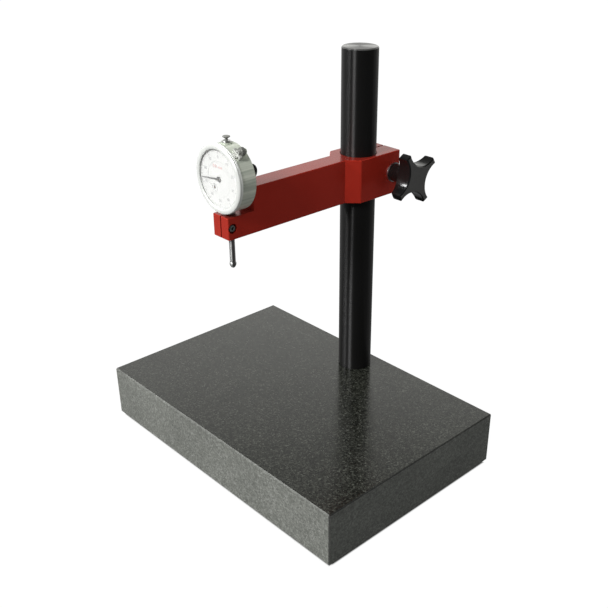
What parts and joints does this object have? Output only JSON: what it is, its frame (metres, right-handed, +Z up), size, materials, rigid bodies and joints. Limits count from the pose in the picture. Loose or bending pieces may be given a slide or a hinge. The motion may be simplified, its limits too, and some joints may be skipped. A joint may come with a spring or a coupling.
{
  "type": "granite comparator stand",
  "caption": "Granite bench base with a round column, a split clamp arm that slides and swings on it, and a plunger dial indicator held by its stem over the flat top.",
  "frame": {"origin": "middle of the whole stand seen from above, on the plane its rubber feet stand on", "axes": "+X to the right along the base's long side as seen from the dial side, -Y out of the dial towards the reader, +Z up along the column"},
  "size_m": [0.3048, 0.228, 0.3588],
  "materials": {
    "granite": "polished top, honed sides, fine speckle",
    "rubber": "moulded",
    "column_enamel": "gloss black",
    "arm_red": "satin red anodised",
    "knob_plastic": "satin black moulding",
    "zinc_steel": "bright zinc plate",
    "black_screw": "black oxide",
    "case_grey": "satin grey-green",
    "stem_steel": "ground",
    "bright_steel": "polished",
    "bezel_metal": "satin chrome",
    "lug_black": "black oxide",
    "tab_plate": "bright plate",
    "cap_black": "grey oxide",
    "window": "clear",
    "dial_face": "matt white with dark print",
    "hand_metal": "dark grey",
    "brass": "turned",
    "plate_metal": "brushed",
    "spring_steel": "drawn wire"
  },
  "bodies": {
    "base": {"granite_base": "granite", "rubber_feet": "rubber", "post_bolt": "zinc_steel", "post_washer": "zinc_steel"},
    "column": {"post": "column_enamel"},
    "arm": {"arm": "arm_red"},
    "washer": {"knob_washer": "zinc_steel"},
    "knob": {"knob": "knob_plastic", "knob_stud": "zinc_steel"},
    "stem_screw": {"stem_screw": "black_screw"},
    "stem": {"stem": "stem_steel"},
    "indicator": {"case": "case_grey", "upper_bush": "stem_steel", "back_cover": "case_grey", "cover_screws": "bright_steel", "back_lug": "lug_black", "lug_screws": "bright_steel", "clamp_tab": "tab_plate", "mid_plate": "plate_metal", "front_plate": "plate_metal", "plate_pillars": "brass", "plate_screws": "bright_steel", "rear_bridge": "plate_metal", "bridge_screws": "bright_steel", "guide_block": "brass", "dial_centre": "dial_face", "hairspring": "spring_steel", "hairspring_stud": "brass", "spring_post": "brass", "return_spring": "spring_steel"},
    "bezel": {"bezel": "bezel_metal", "crystal": "window", "scale_ring": "dial_face"},
    "bezel_clamp": {"clamp_screw": "cap_black"},
    "spindle": {"spindle": "bright_steel", "contact_point": "bright_steel", "spindle_cap": "cap_black", "guide_pin": "bright_steel"},
    "rack_arbor": {"rack_pinion": "brass", "drive_gear": "brass"},
    "centre_arbor": {"centre_pinion": "brass", "main_hand": "hand_metal"},
    "takeup": {"takeup_arbor": "brass", "takeup_gear": "brass", "counter_hand": "hand_metal"}
  },
  "joints": [
    {"name": "column_swivel", "type": "hinge", "parent": "base", "child": "column", "pos_m": [0, 0.06587, 0.15], "axis": [0, 0, 1], "continuous": true},
    {"name": "arm_slide", "type": "slide", "parent": "column", "child": "arm", "axis": [0, 0, 1], "range_m": [-0.145, 0.09]},
    {"name": "knob_feed", "type": "slide", "parent": "arm", "child": "washer", "axis": [1, 0, 0], "range_m": [0, 0.00212]},
    {"name": "knob_turn", "type": "hinge", "parent": "washer", "child": "knob", "pos_m": [0.03, 0.09087, 0.24915], "axis": [1, 0, 0], "range_deg": [0, 541]},
    {"name": "stem_screw_turn", "type": "hinge", "parent": "arm", "child": "stem_screw", "pos_m": [0.008, -0.08368, 0.2386], "axis": [1, 0, 0], "range_deg": [0, 180]},
    {"name": "indicator_slide", "type": "slide", "parent": "arm", "child": "stem", "axis": [0, 0, 1], "range_m": [-0.001, 0.012]},
    {"name": "indicator_swivel", "type": "hinge", "parent": "stem", "child": "indicator", "pos_m": [0, -0.07803, 0.25], "axis": [0, 0, 1], "range_deg": [-25, 25]},
    {"name": "bezel_turn", "type": "hinge", "parent": "indicator", "child": "bezel", "pos_m": [0, -0.07803, 0.2776], "axis": [0, -1, 0], "continuous": true},
    {"name": "bezel_clamp_turn", "type": "hinge", "parent": "indicator", "child": "bezel_clamp", "pos_m": [0.01884, -0.07803, 0.30171], "axis": [0, -1, 0], "range_deg": [0, 180]},
    {"name": "spindle_slide", "type": "slide", "parent": "indicator", "child": "spindle", "axis": [0, 0, 1], "range_m": [0, 0.01], "stiffness_N_per_m": 40, "springref_m": -0.03, "deforming": ["return_spring"]},
    {"name": "rack_arbor_turn", "type": "hinge", "parent": "indicator", "child": "rack_arbor", "pos_m": [-0.00279, -0.07803, 0.28731], "axis": [0, -1, 0], "range_deg": [0, 360.5]},
    {"name": "centre_arbor_turn", "type": "hinge", "parent": "indicator", "child": "centre_arbor", "pos_m": [0, -0.07803, 0.2776], "axis": [0, -1, 0], "range_deg": [-3601, 0]},
    {"name": "takeup_turn", "type": "hinge", "parent": "indicator", "child": "takeup", "pos_m": [-0.00608, -0.07803, 0.26953], "axis": [0, -1, 0], "range_deg": [0, 360.5]}
  ],
  "couplings": [
    {"joint": "knob_turn", "follows": "knob_feed", "rad_per_m": 4452.6},
    {"joint": "rack_arbor_turn", "follows": "spindle_slide", "rad_per_m": 628.32},
    {"joint": "centre_arbor_turn", "follows": "spindle_slide", "rad_per_m": -6283.2},
    {"joint": "takeup_turn", "follows": "spindle_slide", "rad_per_m": 628.32}
  ]
}
